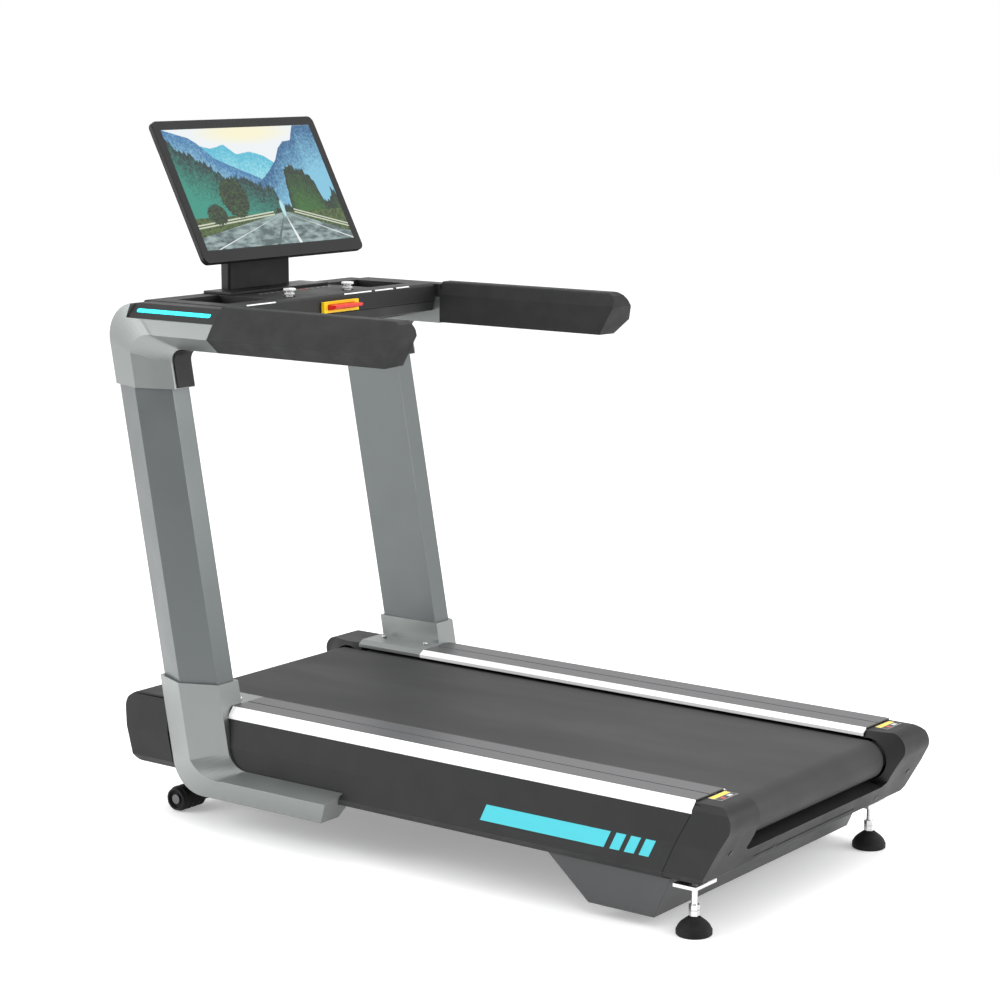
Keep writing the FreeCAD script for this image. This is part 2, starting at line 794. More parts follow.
def levelling_foot(side, name):
    """Rubber pad and threaded stem, its nuts, and the bracket that holds it."""
    centre = (side * foot_across, rear + s.foot_ahead)
    pad, stem = s.foot_pad_radius, s.stem_radius
    neck_radius, rise = stem + 8, s.foot_cone_top - s.foot_rim
    turned("z", centre, [
        (0, 0), (0, pad - 2), (2, pad), (s.foot_rim - 2, pad), (s.foot_rim, pad - 1.5),
        (s.foot_rim + rise * 0.25, pad - 4.5), (s.foot_rim + rise * 0.5, pad - 10),
        (s.foot_rim + rise * 0.75, pad - 18), (s.foot_cone_top - 1, neck_radius),
        (s.foot_cone_top, neck_radius - 1), (s.foot_cone_top, 0)], f"foot_pad_{name}")
    pieces = [rod("z", (*centre, s.foot_cone_top), stem, s.stem_top - s.foot_cone_top)]
    for number in (0, 1):
        z_low = s.foot_cone_top + 3 + number * (s.nut_height + 1)
        pieces.append(hexagon(centre, s.nut_radius, z_low, s.nut_height))
    fuse(*pieces, label=f"foot_stem_{name}")
    plate_high = s.foot_plate_low + s.foot_plate_thick
    y = (rear, rear + 60)
    plate = block(mirrored(side, beam_in, foot_across + 34), y, (s.foot_plate_low, plate_high))
    riser = block(mirrored(side, beam_in, beam_in + 30), (rear + 5, rear + 55),
                  (plate_high, beam_low - s.low_cross_height))
    hole = rod("z", (*centre, s.foot_plate_low), stem + s.running_gap, s.foot_plate_thick)
    return cut(fuse(plate, riser), hole)


def hexagon(centre, radius, z_low, height):
    """A six-sided nut or bolt head with an upright axis."""
    corners = []
    for corner in range(6):
        angle = math.radians(60 * corner)
        corners.append((centre[0] + radius * round(math.cos(angle), 6),
                        centre[1] + radius * round(math.sin(angle), 6)))
    return prism("z", z_low, height, corners)


lift_y = front - s.lift_pivot_behind
wheel_y = front + s.wheel_ahead
lug_angle = math.radians(s.lug_lead_deg.value)
lug_y = lift_y + s.lug_radius * math.sin(lug_angle)
lug_z = s.lift_pivot_height - s.lug_radius * math.cos(lug_angle)


def lift_frame():
    """Pivoting frame that carries the front wheels, with the lug that drives it."""
    half, pin = beam_in - 4, s.lift_pin_radius
    centre = (lift_y, s.lift_pivot_height)
    tube = rod("x", (-half, *centre), s.lift_tube_radius, half * 2)
    pins = rod("x", (-(beam_in + 12), *centre), pin, (beam_in + 12) * 2)
    thick = s.lift_arm_thick
    pieces = [tube, pins]
    for side, _ in SIDES:
        low, _length = span(side, lift_arm_across, lift_arm_across + thick)
        pieces.append(rod("x", (low, wheel_y, s.wheel_radius), 22, thick))
        pieces.append(prism("x", low, thick, [
            (lift_y, s.lift_pivot_height - 20), (lift_y, s.lift_pivot_height + 20),
            (wheel_y + 6, s.wheel_radius + 21), (wheel_y - 6, s.wheel_radius - 21)]))
    tie_y = wheel_y - 60
    tie_z = s.wheel_radius + 20
    pieces.append(rod("x", (-lift_arm_across, tie_y, tie_z), 14, lift_arm_across * 2))
    lug_low = -s.lug_thick / 2
    pieces.append(rod("x", (lug_low, lug_y, lug_z), 20, s.lug_thick))
    pieces.append(prism("x", lug_low, s.lug_thick, [
        (lift_y - 18, s.lift_pivot_height), (lift_y + 18, s.lift_pivot_height),
        (lug_y + 19, lug_z), (lug_y - 19, lug_z)]))
    eye = rod("x", (lug_low, lug_y, lug_z), s.rod_pin_radius + s.lug_clearance, s.lug_thick)
    cut(fuse(*pieces), eye, label="lift_frame")


def lift_wheels(brackets):
    """Ribbed rollers on stub axles at the ends of the lift arms."""
    radius, pin = s.wheel_radius, s.lift_pin_radius
    axles = []
    for side, name in SIDES:
        inner, outer = wheel_inner, wheel_inner + s.wheel_width
        arm = lift_arm_across + s.lift_arm_thick
        low, high = mirrored(side, arm, outer - 1)
        axle = rod("x", (low, wheel_y, radius), pin, high - low)
        head = mirrored(side, outer - 5, outer - 1)
        cap = rod("x", (head[0], wheel_y, radius), pin + 4, head[1] - head[0])
        collar = mirrored(side, arm, inner - 2)
        boss = rod("x", (collar[0], wheel_y, radius), pin + 5, collar[1] - collar[0])
        axles.append(fuse(axle, cap, boss))
        rib = s.wheel_width / 8
        outline = [(side * inner, pin + s.running_gap), (side * inner, radius - 2)]
        for number in range(4):
            start = inner + rib * (2 * number)
            outline += [(side * (start + 1), radius), (side * (start + rib - 1), radius)]
            if number < 3:
                low_radius = radius - s.wheel_groove
                outline += [(side * (start + rib), low_radius),
                            (side * (start + rib * 2), low_radius)]
        recess, rim = outer - 7, radius - 9
        outline += [(side * (outer - rib), radius - 2), (side * outer, radius - 4),
                    (side * outer, rim), (side * recess, rim - 1),
                    (side * recess, pin + s.running_gap)]
        turned("x", (wheel_y, radius), outline, f"wheel_{name}")
        inner_x, outer_x = mirrored(side, beam_in + 2, beam_in + 12)
        plate = block((inner_x, outer_x), (lift_y - 30, lift_y + 30),
                      (s.lift_pivot_height - 22, beam_low))
        bore = rod("x", (inner_x, lift_y, s.lift_pivot_height), pin + s.running_gap,
                   outer_x - inner_x)
        brackets.append(cut(plate, bore))
    group(axles, "wheel_axles")
    group(brackets, "frame_brackets")


def lift_actuator():
    """Screw actuator: fixed gearbox and tube, and the rod that pushes the lug."""
    shaft, fork = s.rod_radius, s.lug_thick / 2 + 2
    eye_back = lug_y - 26
    rod_rear = lug_y - s.rod_length
    bar = rod("y", (0, rod_rear, lug_z), shaft, eye_back - rod_rear)
    head = block((-fork - 8, fork + 8), (eye_back - 12, eye_back), (lug_z - 12, lug_z + 12))
    cheeks = []
    for side, _ in SIDES:
        cheek = mirrored(side, fork, fork + 8)
        cheeks.append(block(cheek, (eye_back - 12, lug_y + 12), (lug_z - 12, lug_z + 12)))
    pin = rod("x", (-fork - 8, lug_y, lug_z), s.rod_pin_radius, (fork + 8) * 2)
    fuse(bar, head, *cheeks, pin, label="lift_rod")
    tube_front = eye_back - 60
    tube_rear = tube_front - s.actuator_length
    tube = ring("y", (0, tube_rear, lug_z), s.actuator_radius, shaft + s.running_gap,
                s.actuator_length)
    half = s.gearbox_size / 2
    gearbox = block((-half, half), (tube_rear - s.gearbox_size, tube_rear),
                    (lug_z - 38, lug_z + 38))
    cap = rod("z", (0, tube_rear - half, lug_z - 38 - 8), 26, 8)
    fuse(tube, gearbox, cap, label="lift_actuator")


# Castings that follow a bend: each station of the bend is a five-cornered section
def ridge_section(inner_x, edge_in, edge_out, ridge_x, point_in, point_out, share):
    """Closed section between two contour points, with a ridge on its outer side."""
    (y_in, z_in), (y_out, z_out) = point_in, point_out
    y_mid, z_mid = y_in + (y_out - y_in) * share, z_in + (z_out - z_in) * share
    corners = [(inner_x, y_in, z_in), (edge_in, y_in, z_in), (ridge_x, y_mid, z_mid),
               (edge_out, y_out, z_out), (inner_x, y_out, z_out)]
    points = [Vector(*corner) for corner in corners]
    return Part.makePolygon(points + points[:1])


def bend_points(corner_in, corner_out, heading_one, heading_two, radius_in, radius_out, steps):
    """Paired contour points round a bend between two straight stretches."""
    pairs = []
    for step in range(steps + 1):
        share = step / steps
        pairs.append((arc_point(corner_in, heading_one, heading_two, radius_in, share),
                      arc_point(corner_out, heading_one, heading_two, radius_out, share)))
    return pairs


def arc_point(corner, heading_one, heading_two, radius, share, inset=0):
    """Point at a share of the arc that rounds a corner, or inset towards its centre."""
    turn = heading_two - heading_one
    reach = radius * math.tan(abs(turn) / 2)
    start = (corner[0] - reach * math.cos(heading_one), corner[1] - reach * math.sin(heading_one))
    sign = 1 if turn > 0 else -1
    centre = (start[0] - sign * radius * math.sin(heading_one),
              start[1] + sign * radius * math.cos(heading_one))
    angle = heading_one - sign * math.pi / 2 + turn * share
    away = radius - inset
    return (centre[0] + away * math.cos(angle), centre[1] + away * math.sin(angle))


def mirror_x(shape, side):
    return shape if side > 0 else shape.mirror(Vector(), Vector(1, 0, 0))


def loft(sections):
    return Part.makeLoft(sections, True, True)


def yz_prism(points, x_low, x_high):
    """Solid from an outline in Y and Z, between two X values."""
    corners = [Vector(x_low, y, z) for y, z in points]
    face = Part.Face(Part.makePolygon(corners + corners[:1]))
    return face.extrude(Vector(x_high - x_low, 0, 0))


def xz_prism(points, y_low, y_high):
    corners = [Vector(x, y_low, z) for x, z in points]
    face = Part.Face(Part.makePolygon(corners + corners[:1]))
    return face.extrude(Vector(0, y_high - y_low, 0))


def number(*sizes):
    values = [as_size(size).value for size in sizes]
    return values[0] if len(values) == 1 else values


collar_rear_y = front + s.collar_rear
collar_mid_y = collar_rear_y + s.collar_depth / 2
lean = math.atan2(1, s.upright_lean.value)


def upright_section(grow, height):
    """Corners of the upright tube's section at a height."""
    shift = (height - s.collar_top) * s.upright_lean
    inset = s.upright_inset - grow
    half = s.collar_depth / 2 - inset - 3
    middle = collar_mid_y + shift
    return [(casting_inner + inset, middle - half), (casting_corner - inset, middle - half),
            (casting_ridge - inset, middle), (casting_corner - inset, middle + half),
            (casting_inner + inset, middle + half)]


def upright_prism(grow, z_low, z_high):
    """Slanted prism of the upright's section between two heights."""
    wires = []
    for height in (z_low, z_high):
        points = [Vector(number(x), number(y), number(height))
                  for x, y in upright_section(as_size(grow), as_size(height))]
        wires.append(Part.makePolygon(points + points[:1]))
    return loft(wires)


def foot_casting(side, label):
    """L-shaped foot: floor bar, bend, leaning collar, and the flange on the deck."""
    lean_run = s.upright_lean.value
    top, floor, bar_top = number(s.collar_top, s.casting_floor, s.casting_foot_top)
    y_in, depth = number(collar_rear_y, s.collar_depth)
    inner, corner, ridge = number(casting_inner, casting_corner, casting_ridge)
    low_corner, high_corner = number(foot_outer_corner, foot_upper_corner)
    heading_down = lean + math.pi
    corner_in = (y_in - (top - bar_top) * lean_run, bar_top)
    corner_out = (y_in + depth - (top - floor) * lean_run, floor)
    pairs = [((y_in, top), (y_in + depth, top))]
    heading_back = math.pi
    pairs += bend_points(corner_in, corner_out, heading_down, heading_back,
                         number(s.casting_inner_radius), number(s.casting_outer_radius), 9)
    toe = corner_in[0] - number(s.casting_foot_length) - 18
    pairs.append(((toe, bar_top), (toe + number(s.casting_toe_slope), floor)))
    sections = []
    last = len(pairs) - 1
    for step, (point_in, point_out) in enumerate(pairs):
        share = min(1, max(0, (step - 1) / 9))
        edge_in = corner + (high_corner - corner) * share
        edge_out = corner + (low_corner - corner) * share
        ridge_share = 0.5 - 0.26 * share
        sections.append(ridge_section(inner, edge_in, edge_out, ridge, point_in, point_out,
                                      ridge_share if step < last else 0.24))
    shape = loft(sections)
    shape = shape.cut(panel_envelope(number(s.panel_gap)))
    shape = shape.cut(upright_prism(0.2, top - number(s.socket_depth), top + 1))
    shape = shape.fuse(flange_shape())
    fixed(label, mirror_x(shape.removeSplitter(), side))


def panel_envelope(grow):
    """Space of a side panel and its gap, behind the leaning end line."""
    outline = [(number(x), number(z)) for x, z in panel_outer(as_size(grow))]
    inner = number(casting_inner) - 10
    high = number(s.rail_top) + 20
    floor = number(s.panel_bottom) - grow
    outline = [(outline[0][0], high)] + outline + [(inner, floor), (inner, high)]
    solid = xz_prism(outline, number(rear), number(front) + 100)
    ahead = [(number(lean_at(z)), number(z)) for z in (floor - 5, high + 5)]
    far = number(front) + 200
    return solid.cut(yz_prism(ahead + [(far, high + 5), (far, floor - 5)], inner - 1, 600))


def flange_shape():
    """Plate that carries on the rail's top beside the collar, on a leg to the beam."""
    outline = [(rail_in_top, s.rail_top), (casting_inner + 6, s.rail_top),
               (casting_inner + 6, s.rail_top - s.flange_thick),
               (beam_out, s.rail_top - s.flange_thick), (beam_out, beam_top),
               (beam_out - s.leg_width, beam_top),
               (beam_out - s.leg_width, s.rail_top - s.flange_thick),
               (rail_in_top + 4, s.rail_top - s.flange_thick),
               (rail_in + 3, s.rail_top - s.rail_edge_drop + 2),
               (rail_in, s.rail_top - s.rail_edge_drop + 2),
               (rail_in, s.rail_top - s.rail_chamfer_drop)]
    points = [(number(x), number(z)) for x, z in outline]
    start = number(front)
    return xz_prism(points, start + 0.5, start + number(flange_length))


def upright(side, label):
    """Hollow leaning tube between the two sockets."""
    low = s.collar_top - s.socket_depth
    high = s.arm_bottom + s.socket_depth
    shape = upright_prism(0, low, high).cut(upright_prism(-s.upright_wall.value, low - 1, high + 1))
    fixed(label, mirror_x(shape, side))


def upright_fixings(side):
    """Flange bolts on top and the spacer that fills in beside the beam."""
    bolts = []
    for offset in (34, 177):
        centre = (side * (beam_out - s.leg_width / 2), front + offset)
        bolts.append(hexagon(centre, 8, s.rail_top, 6))
    spacer = block(mirrored(side, beam_out, casting_inner), (front + 22, front + 160),
                   (beam_low + 10, beam_top))
    return bolts + [spacer]


arm_rear_y = front
bracket_rear_y = (collar_rear_y + (s.arm_bottom - s.collar_top) * s.upright_lean
                  - s.bracket_growth)
bracket_depth = s.collar_depth + s.bracket_growth / 2
pod_top = s.arm_top + s.pod_height
pod_front_y = arm_rear_y + s.pod_length


def upper_bracket(side, label):
    """Bracket that turns the upright into the arm: collar, bend and arm."""
    lean_run = s.upright_lean.value
    low, under, top = number(s.arm_bottom, s.arm_under, pod_top)
    y_in, depth = number(bracket_rear_y, bracket_depth)
    inner, corner, ridge = number(casting_inner, casting_corner, arm_ridge)
    high_corner = number(arm_high_corner)
    ridge_rise = (number(s.arm_ridge_height) - under) / (top - under)
    corner_in = (y_in + (under - low) * lean_run, under)
    corner_out = (y_in + depth + (top - low) * lean_run, top)
    pairs = [((y_in, low), (y_in + depth, low))]
    pairs += bend_points(corner_in, corner_out, lean, math.pi,
                         number(s.bracket_inner_radius), number(s.bracket_outer_radius), 9)
    end = number(arm_rear_y)
    pairs.append(((end, under), (end, top)))
    sections = []
    for step, (point_in, point_out) in enumerate(pairs):
        share = min(1, max(0, (step - 1) / 9))
        edge_out = corner + (high_corner - corner) * share
        ridge_share = 0.5 + (ridge_rise - 0.5) * share
        sections.append(ridge_section(inner, corner - 5 * share, edge_out, ridge,
                                      point_in, point_out, ridge_share))
    seat_front, seat = number(pod_front_y) + 0.5, number(s.arm_top)
    pod_seat = yz_prism([(end - 1, seat), (seat_front, seat), (seat_front, top + 1),
                         (end - 1, top + 1)], inner - 1, ridge + 1)
    shape = loft(sections).cut(pod_seat)
    shape = shape.cut(upright_prism(0.2, low - 1, low + number(s.socket_depth)))
    fixed(label, mirror_x(shape, side))


def bracket_extras(side):
    """Dark insert on the rear of the upper collar, and the pod on the arm."""
    low, under, radius = number(s.arm_bottom, s.arm_under, s.bracket_inner_radius)
    y_rear = number(bracket_rear_y)
    corner_in = (y_rear + (under - low) * s.upright_lean.value, under)
    outline = []
    for inset in (s.insert_gap.value, s.insert_thick.value):
        bend = [arc_point(corner_in, lean, math.pi, radius, step / 5, inset) for step in range(5)]
        edge = [(y_rear - inset + 0.5, low + 2), *bend]
        outline += edge if not outline else edge[::-1]
    x_low, length = span(side, casting_inner + 4, casting_corner - 8)
    insert = prism("x", x_low, length, outline)
    top, ahead = s.arm_top, pod_front_y
    profile = [(arm_rear_y, top), (ahead - 8, top), (ahead - 2, top + 5), (ahead, top + 12),
               (ahead - 3, pod_top - 8), (ahead - 10, pod_top), (arm_rear_y, pod_top)]
    corner = arm_top_corner
    body = prism("x", *span(side, casting_inner, corner - s.pod_ledge), profile)
    slope = [(side * (corner - s.pod_inset), pod_top + 0.01),
             (side * (corner + 5), pod_top + 0.01), (side * (corner + 5), top),
             (side * (corner - s.pod_ledge), top)]
    sweep(body, "Pocket", "y", arm_rear_y - 1, s.pod_length + 2, [slope])
    return insert, body


def handgrip(side, label):
    """Moulded grip on the end of the arm, hollow from its front end."""
    under, top = s.arm_under, s.grip_top
    inner = casting_inner
    outline = [(inner, under + 2), (casting_corner - 5, under), (arm_ridge, s.arm_ridge_height),
               (arm_top_corner, s.arm_top), (arm_top_corner - s.pod_inset + 4, top),
               (inner + 12, top), (inner, s.arm_top + 6)]
    y_low = arm_rear_y - s.grip_length
    body = prism("y", y_low, s.grip_length - 0.5, [(side * x, z) for x, z in outline])
    slope = s.grip_end_slope
    low, length = span(side, inner - 5, arm_ridge + 5)
    cut_across(body, low, length, [(y_low - 1, under - 1), (y_low + slope, under - 1),
                                   (y_low + slope, under), (y_low, top - s.grip_radius - 10),
                                   (y_low - 1, top - s.grip_radius - 10)])
    cut_across(body, low, length, [(y_low - 1, top - s.grip_radius), (y_low + 1, top - 18),
                                   (y_low + 7, top - 8), (y_low + 18, top - 2),
                                   (y_low + s.grip_radius, top), (y_low + s.grip_radius, top + 5),
                                   (y_low - 1, top + 5)])
    wall = s.grip_wall
    hollow = [(inner + wall, under + wall), (casting_corner - 10, under + wall),
              (arm_ridge - 14, s.arm_ridge_height), (arm_top_corner - 12, s.arm_top - 6),
              (arm_top_corner - s.pod_inset - 4, top - wall), (inner + 16, top - wall),
              (inner + wall, s.arm_top)]
    hollow = [(side * x, z) for x, z in hollow]
    sweep(body, "Pocket", "y", y_low + slope + wall * 2,
          s.grip_length - slope - wall * 2, [hollow])
    fillet(body, 8, lambda edge: runs_along(edge, "y") and is_top_edge(edge, top))
    name_node(body, label)


def is_top_edge(edge, top):
    """True for the two long outer edges of a grip's top."""
    middle = edge.CenterOfMass
    inner_limit = casting_inner.value + 12.5
    outer_limit = arm_top_corner.value - s.pod_inset.value + 3.5
    outside = abs(middle.x) < inner_limit or abs(middle.x) > outer_limit
    return abs(middle.z - top.value) < 0.5 and outside and edge.Length > 100


console_half = casting_inner - s.console_gap
console_rear_y = front + s.console_rear
console_front_y = console_rear_y + s.console_depth


def console():
    """Console between the arms: top moulding with trays, and the bottom shell."""
    wall, top, fascia = s.console_wall, s.console_top_height, s.console_fascia
    y_low, y_high = console_rear_y, console_front_y
    body = prism("x", -console_half, console_half * 2, [
        (y_low, fascia), (y_low + 2, top - 6), (y_low + 8, top), (y_high - 6, top),
        (y_high, top - 6), (y_high, fascia)])
    cut_across(body, -(console_half - wall), (console_half - wall) * 2, [
        (y_low + wall + 2, fascia - 1), (y_low + wall + 2, top - wall - 2),
        (y_high - wall, top - wall - 2), (y_high - wall, fascia - 1)])
    name_node(body, "console_hood")
    half_width, floor = s.tray_width / 2, top - s.tray_depth
    tray_y = console_rear_y + 60
    tools, cups = [], []
    for side, _ in SIDES:
        middle = side * (console_half - s.tray_inset)
        outer = ((middle - half_width - 3, middle + half_width + 3),
                 (tray_y - 3, tray_y + s.tray_length + 3), (floor - 3, top - 0.5))
        inner = ((middle - half_width, middle + half_width),
                 (tray_y, tray_y + s.tray_length), (floor, top + 1))
        tools += [block(*outer), block(*inner)]
        cups.append(cut(block(*outer), block(*inner)))
    for side, _ in SIDES:
        centre = (side * s.toggle_across, front + s.toggle_ahead)
        tools.append(rod("z", (*centre, top - wall * 3), s.toggle_hole, wall * 4))
    NODES.remove(body)
    fuse(cut(body, *tools), *cups, label="console_top")
    low = s.console_bottom_height
    lower = prism("x", -console_half, console_half * 2, [
        (y_low + 2, fascia - 0.5), (y_high - 4, fascia - 0.5), (y_high - 24, low),
        (y_low + 150, low), (y_low + 10, fascia - 26)])
    cut_across(lower, -(console_half - wall), (console_half - wall) * 2, [
        (y_low + 2 + wall * 2, fascia), (y_high - 4 - wall * 2, fascia),
        (y_high - 28, low + wall), (y_low + 152, low + wall), (y_low + 14, fascia - 20)])
    name_node(lower, "console_bottom")


neck_y = front + s.neck_ahead


def neck():
    """Flat upright column behind the screen and its base plate."""
    y = (neck_y, neck_y + s.neck_thick)
    body = prism("z", s.console_top_height, s.neck_top - s.console_top_height, [
        (-s.neck_half, y[0]), (s.neck_half, y[0]), (s.neck_half, y[1]), (-s.neck_half, y[1])])
    fillet(body, 8, lambda edge: runs_along(edge, "z"))
    name_node(body, "neck")
    plate = prism("z", s.console_top_height, 7, [
        (-s.neck_half - 70, neck_y - 70), (s.neck_half + 70, neck_y - 70),
        (s.neck_half + 70, console_front_y - 8), (-s.neck_half - 70, console_front_y - 8)])
    hole = block((-s.neck_half, s.neck_half), y,
                 (s.console_top_height, s.console_top_height + 8))
    cut(plate, hole, label="neck_plate")


def on_screen(shape_or_feature, depth):
    """Place a piece drawn flat at the origin onto the tilted screen plane."""
    tilt = math.radians(s.screen_tilt_deg.value)
    base_y = front + s.screen_low_ahead + math.cos(tilt) * depth
    base_z = s.screen_low_height - math.sin(tilt) * depth
    shape_or_feature.Placement = Placement(
        Vector(), Rotation(Vector(1, 0, 0), 90 - s.screen_tilt_deg.value))
    bind(shape_or_feature, "Placement.Base.y", base_y)
    bind(shape_or_feature, "Placement.Base.z", base_z)


def screen_plate(width, low, high, depth, thick, radius, label=None, opening=None):
    """Rounded plate in the screen's own plane: low and high run up its face.

    Depth is how far the plate's back lies behind the screen's front plane.
    """
    body = new_body()
    half = as_size(width) / 2
    sweep(body, "Pad", "z", 0, thick, [[(-half, low), (half, low), (half, high), (-half, high)]])
    if radius is not None:
        fillet(body, radius, lambda edge: runs_along(edge, "z"))
    if opening:
        o_half, o_low, o_high = opening
        sweep(body, "Pocket", "z", 0, thick,
              [[(-o_half, o_low), (o_half, o_low), (o_half, o_high), (-o_half, o_high)]])
    on_screen(body, depth)
    return name_node(body, label) if label else body


def screen():
    """Tilted screen: rear shell, frame, display panel, back box and its bracket."""
    high = s.screen_height
    d_half, d_low = s.display_width / 2, s.display_rise
    d_high = d_low + s.display_height
    glass, shell = s.screen_glass, s.screen_shell
    screen_plate(s.screen_width, 0, high, glass, glass, s.screen_radius, "screen_frame",
                 (d_half, d_low, d_high))
    screen_plate(s.display_width - 0.4, d_low + 0.2, d_high - 0.2, glass, glass - 0.6, None,
                 "display_panel")
    housing = screen_plate(s.screen_width, 0, high, glass + shell, shell, s.screen_radius)
    middle, back = high / 2, s.screen_back_height / 2
    back_box = screen_plate(s.screen_back_width, middle - back, middle + back,
                            glass + shell + s.screen_back_thick, s.screen_back_thick, 20)
    fuse(housing, back_box, label="screen_housing")
    tilt = math.radians(s.screen_tilt_deg.value)
    depth = number(glass + shell)
    foot_y = number(front + s.screen_low_ahead) + math.cos(tilt) * depth
    foot_z = number(s.screen_low_height) - math.sin(tilt) * depth
    neck_front, neck_back = number(neck_y, neck_y + s.neck_thick)
    box = number(s.screen_back_thick)

    def behind(up, out):
        return (foot_y + math.sin(tilt) * up + math.cos(tilt) * out,
                foot_z + math.cos(tilt) * up - math.sin(tilt) * out)

    low_up, high_up = number(middle) - 65, number(middle) + 50
    outline = [behind(low_up, box), behind(high_up, box),
               (neck_back, number(s.neck_top)), (neck_front, number(s.neck_top))]
    fixed("screen_bracket", yz_prism(outline, -70, 70))


def controls():
    """Speed and incline toggles, stop bar and its yellow surround."""
    for side, name in ((-1, "speed"), (1, "incline")):
        centre = (side * s.toggle_across, front + s.toggle_ahead)
        pivot = s.console_top_height - s.toggle_pivot_depth
        top = s.console_top_height + s.toggle_height
        wide, waist = s.toggle_radius, s.toggle_waist
        face = s.console_top_height
        turned("z", centre, [(pivot - 8, 0), (pivot - 8, 5), (pivot, 8), (face - 2, waist - 1),
                             (face + 4, waist - 1), (face + 5, waist + 3), (face + 7, waist + 3),
                             (face + 10, waist - 1), (top - 7, waist), (top - 5, wide),
                             (top - 1, wide), (top, wide - 2), (top, 0)],
               f"{name}_toggle")
    half, low = s.stop_frame_half, s.stop_frame_low
    y_face = console_rear_y
    y = (y_face - s.stop_frame_thick, y_face - 0.2)
    frame_box = block((-half, half), y, (low, low + s.stop_frame_height))
    bar_low = low + (s.stop_frame_height - s.stop_bar_height) / 2
    gap = s.stop_gap
    slot = block((-s.stop_bar_half - gap, s.stop_bar_half + gap), y,
                 (bar_low - gap, bar_low + s.stop_bar_height + gap))
    cut(frame_box, slot, label="stop_frame")
    tip, bar_high = y_face - s.stop_bar_reach, bar_low + s.stop_bar_height
    prism("x", -s.stop_bar_half, s.stop_bar_half * 2, [
        (y_face - 6, bar_low), (y_face - 6, bar_high), (tip + 4, bar_high), (tip, bar_high - 3),
        (tip + 2, bar_high - 7), (y_face - 18, bar_low)], "stop_bar")


def rear_cover():
    """Cover over the rear roller's ends."""
    top, low = s.rail_top - 5, s.panel_bottom + 4
    high_seam = s.rail_top - s.rail_edge_drop - s.rail_lip
    r, seam_low_y, crest = rear, seam_at(low), strip_top
    profile = [(r, top), (r - 127, top), (r - 27, low), (seam_low_y, low), (r, high_seam)]
    rounding = ((r - 127, top, 39), (r - 27, low, 14))
    inner = [(r, top - 3), (r - 55, top - 8), (r - 75, top - 15), (r - 88, top - 27),
             (r - 95, top - 42), (r - 86, top - 68), (r - 28, low + 13),
             (r - 18, low + 3), (seam_low_y, low + 3), (r + 2, high_seam)]
    shelf = belt_low - s.roller_clearance
    centre = [(r - 130, crest), (r - 50, crest), (r - 14, shelf), (r + 90, shelf),
              (r + 90, top + 5), (r - 130, top + 5)]
    strip = [(r - 36, crest - 6), (r - 22, low + 4), (r + 100, low + 4), (r + 100, crest + 4),
             (r - 22, crest + 4)]
    room = foot_across + 36
    extra = [block((-room, room), (r - 1, r + 130), (s.panel_bottom - 5, beam_low + 1))]
    finish_cover("rear_cover", rear_roller_y, profile, rounding, inner, centre, strip, extra)


def front_cover():
    """Cover over the front roller's ends."""
    top, low = s.rail_top - 10, s.panel_bottom + 1
    f, crest = front + flange_length, strip_top

    def seam(height):
        return f + 3 - (s.rail_top - as_size(height)) * s.upright_lean

    profile = [(seam(top), top), (f + 147, top), (f + 108, low), (seam(low), low)]
    rounding = ((f + 147, top, 34), (f + 108, low, 20))
    inner = [(seam(top) - 2, top - 3), (f + 110, top - 4), (f + 126, top - 12),
             (f + 133, top - 28), (f + 131, top - 45), (f + 107, low + 14), (f + 94, low + 4),
             (seam(low) - 2, low + 4)]
    centre = [(f - 60, crest), (f + 170, crest), (f + 170, top + 5), (f - 60, top + 5)]
    strip = [(f - 60, low + 4), (f + 98, low + 4), (f + 107, crest - 4), (f - 60, crest - 4)]
    gap = s.cover_seam / 2
    x, z = inlet_space()
    extra = [block((x[0] - gap, x[1] + gap), (front_roller_y + 40, front_roller_y + 120),
                   (z[0] - gap, z[1] + gap))]
    finish_cover("front_cover", front_roller_y, profile, rounding, inner, centre, strip, extra)


def finish_cover(label, axis_y, profile, rounding, inner, centre, strip, extra):
    """Shape a cover block: rounded caps, the throat round the belt and the hollows."""
    half = cover_outer
    body = prism("x", -half, half * 2, profile)
    for y, z, radius in rounding:
        fillet(body, radius, lambda edge: at_corner(edge, number(y), number(z)))
    top = profile[0][1]
    for side, _ in SIDES:
        sweep(body, "Pocket", "y", axis_y - 300, 600, [cap_side(side, top)])
        low, length = span(side, cover_inner + 6, panel_out - 22)
        cut_across(body, low, length, inner)
    throat = cover_throat
    cut_across(body, -throat, throat * 2, centre)
    cut_across(body, -(cover_inner + 1), (cover_inner + 1) * 2, strip)
    ahead = -1 if label == "rear_cover" else 1
    tools = [rod("x", (-(cover_inner + 8), axis_y, roller_height),
                 belt_out_radius + s.roller_clearance, (cover_inner + 8) * 2)]
    tools += [dish(side, axis_y, top) for side, _ in SIDES]
    tools += [cap_slot(side, ahead) for side, _ in SIDES]
    cut(body, *tools, *extra, label=label)


def at_corner(edge, y, z):
    """True for an edge that runs across the machine at one corner of a profile."""
    middle = edge.CenterOfMass
    return runs_along(edge, "x") and abs(middle.y - y) < 0.5 and abs(middle.z - z) < 0.5


def cap_side(side, top):
    """Everything outside a cap's rounded flank, as an outline in X and Z."""
    outside = panel_outer(as_size(0))
    shoulder, far = outside[0][0], cover_outer + 10
    outline = [(shoulder - 16, top + 10), (shoulder - 16, top), (shoulder - 2, top - 14)]
    outline += outside[1:]
    outline += [(outside[-1][0] - 8, s.panel_bottom - 30), (far, s.panel_bottom - 30),
                (far, top + 10)]
    return [(side * x, z) for x, z in outline]


